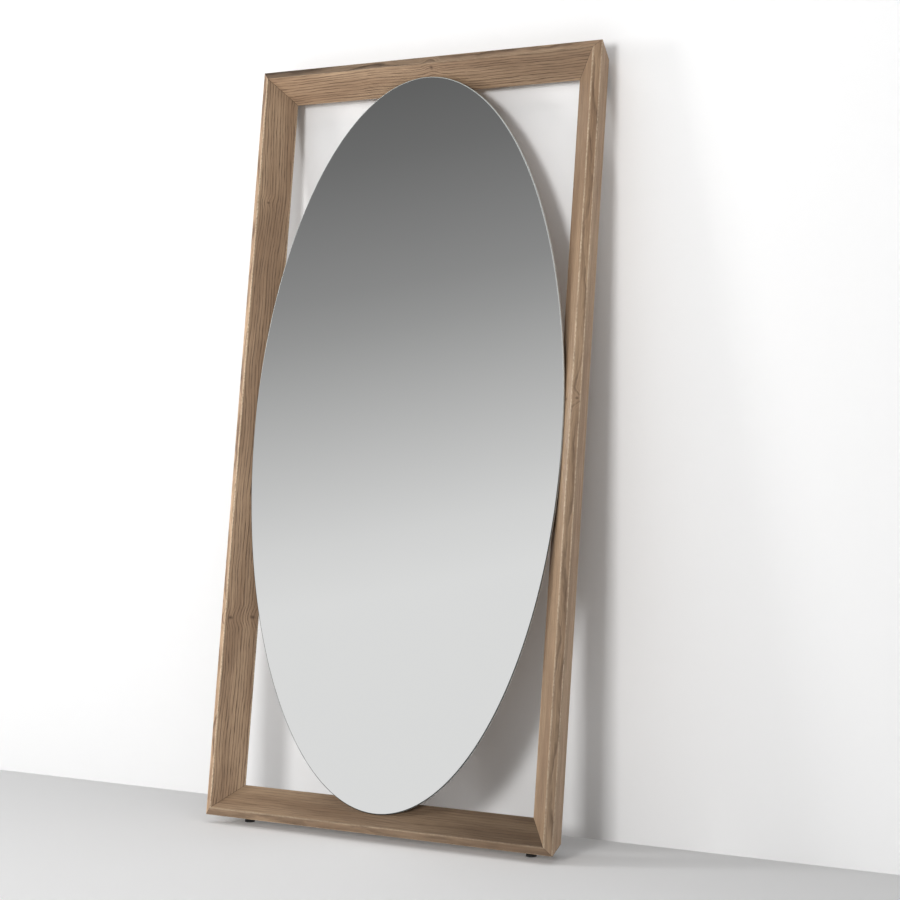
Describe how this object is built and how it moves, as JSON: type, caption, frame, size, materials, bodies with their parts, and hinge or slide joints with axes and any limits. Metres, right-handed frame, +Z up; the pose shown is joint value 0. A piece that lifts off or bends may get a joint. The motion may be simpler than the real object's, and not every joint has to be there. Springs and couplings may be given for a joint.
{
  "type": "leaning floor mirror",
  "caption": "Full-length floor mirror that leans on a wall: elliptical mirror inside a rectangular splayed, mitred wood frame on levelling feet.",
  "frame": {"origin": "centre of the footprint on the floor, in the leaning pose: midway between the left and right sides and between the frontmost ridge and the wall bumpers, at floor level", "axes": "+Z up from the floor, +Y towards the wall behind, +X to the right as seen from the front; the mirror faces -Y and leans back 7 degrees"},
  "size_m": [1, 0.3414, 1.9763],
  "materials": {
    "frame_wood": "brushed open-grain oak or ash, brown stain, matt",
    "spline_wood": "birch plywood, unfinished",
    "mirror": "silvered float glass with a flat polished edge",
    "foam": "closed-cell foam tape",
    "board": "plain fibreboard",
    "bracket_steel": "black powder coat",
    "screw_steel": "zinc-plated",
    "foot_steel": "zinc-plated",
    "foot_plastic": "black nylon, fine texture",
    "rubber": "black rubber, matt"
  },
  "bodies": {
    "frame": {"stile_left": "frame_wood", "stile_right": "frame_wood", "rail_top": "frame_wood", "rail_bottom": "frame_wood", "mitre_spline_bottom_left": "spline_wood", "corner_plate_bottom_left": "bracket_steel", "mitre_spline_bottom_right": "spline_wood", "corner_plate_bottom_right": "bracket_steel", "mitre_spline_top_right": "spline_wood", "corner_plate_top_right": "bracket_steel", "mitre_spline_top_left": "spline_wood", "corner_plate_top_left": "bracket_steel", "mirror_bracket_left_lower": "bracket_steel", "mirror_bracket_left_upper": "bracket_steel", "mirror_bracket_right_lower": "bracket_steel", "mirror_bracket_right_upper": "bracket_steel", "mirror_bracket_top_left": "bracket_steel", "mirror_bracket_top_right": "bracket_steel", "mirror_bracket_bottom_left": "bracket_steel", "mirror_bracket_bottom_right": "bracket_steel", "corner_plate_screws": "screw_steel", "bracket_board_screws": "screw_steel", "bracket_frame_screws": "screw_steel", "wall_bumper_screws": "screw_steel", "mirror_glass": "mirror", "foam_tape": "foam", "backing_board": "board", "wall_bumper_left": "rubber", "wall_bumper_right": "rubber", "foot_insert_left": "foot_steel", "foot_nut_left": "foot_steel", "foot_insert_right": "foot_steel", "foot_nut_right": "foot_steel"},
    "foot_left_ball": {"foot_ball_left": "foot_plastic"},
    "foot_left_stud": {"foot_stud_left": "foot_steel"},
    "foot_left_base": {"foot_base_left": "foot_plastic", "foot_tread_left": "rubber"},
    "foot_right_ball": {"foot_ball_right": "foot_plastic"},
    "foot_right_stud": {"foot_stud_right": "foot_steel"},
    "foot_right_base": {"foot_base_right": "foot_plastic", "foot_tread_right": "rubber"}
  },
  "joints": [
    {"name": "foot_left_height", "type": "slide", "parent": "frame", "child": "foot_left_ball", "axis": [0, -0.1219, -0.9925], "range_m": [-0.005, 0.01]},
    {"name": "foot_left_screw", "type": "hinge", "parent": "foot_left_ball", "child": "foot_left_stud", "pos_m": [-0.41, -0.09219, 0.0085], "axis": [0, -0.1219, -0.9925], "range_deg": [-1440, 2880]},
    {"name": "foot_left_tilt", "type": "hinge", "parent": "foot_left_ball", "child": "foot_left_base", "pos_m": [-0.41, -0.09219, 0.0085], "axis": [1, 0, 0], "range_deg": [-19, 5]},
    {"name": "foot_right_height", "type": "slide", "parent": "frame", "child": "foot_right_ball", "axis": [0, -0.1219, -0.9925], "range_m": [-0.005, 0.01]},
    {"name": "foot_right_screw", "type": "hinge", "parent": "foot_right_ball", "child": "foot_right_stud", "pos_m": [0.41, -0.09219, 0.0085], "axis": [0, -0.1219, -0.9925], "range_deg": [-1440, 2880]},
    {"name": "foot_right_tilt", "type": "hinge", "parent": "foot_right_ball", "child": "foot_right_base", "pos_m": [0.41, -0.09219, 0.0085], "axis": [1, 0, 0], "range_deg": [-19, 5]}
  ],
  "couplings": [
    {"joint": "foot_left_height", "follows": "foot_left_screw", "m_per_rad": 0.00019894},
    {"joint": "foot_right_height", "follows": "foot_right_screw", "m_per_rad": 0.00019894}
  ]
}
